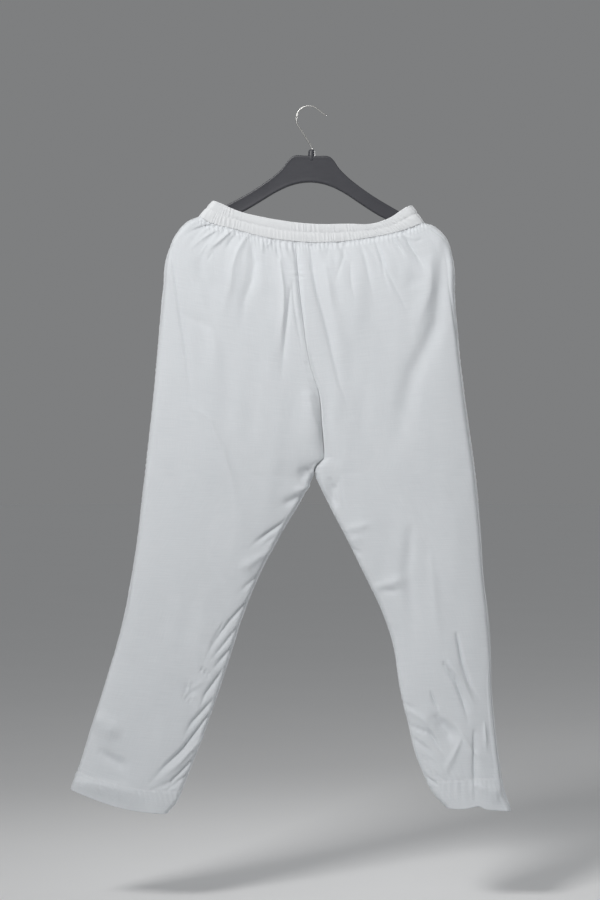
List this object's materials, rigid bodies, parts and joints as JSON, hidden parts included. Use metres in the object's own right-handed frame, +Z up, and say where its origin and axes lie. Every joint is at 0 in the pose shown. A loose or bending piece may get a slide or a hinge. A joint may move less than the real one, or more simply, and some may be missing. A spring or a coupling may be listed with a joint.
{
  "type": "trousers on a clothes hanger",
  "caption": "White pull-on trousers with a gathered elastic waistband, straight legs and hem slits, hanging flat on a dark moulded hanger.",
  "frame": {"origin": "inside top of the hanger's hook, where a rail carries it", "axes": "+Z up along the hanging garment, +X to the right as the front is seen, +Y from the front of the garment to its back"},
  "size_m": [0.6816, 0.0568, 1.0976],
  "materials": {
    "cloth": "white slubbed viscose, matt with a faint sheen",
    "casing": "the same white cloth, gathered over elastic",
    "plastic": "charcoal moulded plastic with a satin face",
    "steel": "bright plated wire"
  },
  "bodies": {
    "root": {"waistband": "casing", "front_left": "cloth", "front_right": "cloth", "back_left": "cloth", "back_right": "cloth", "hanger": "plastic", "hook": "steel"}
  },
  "joints": []
}
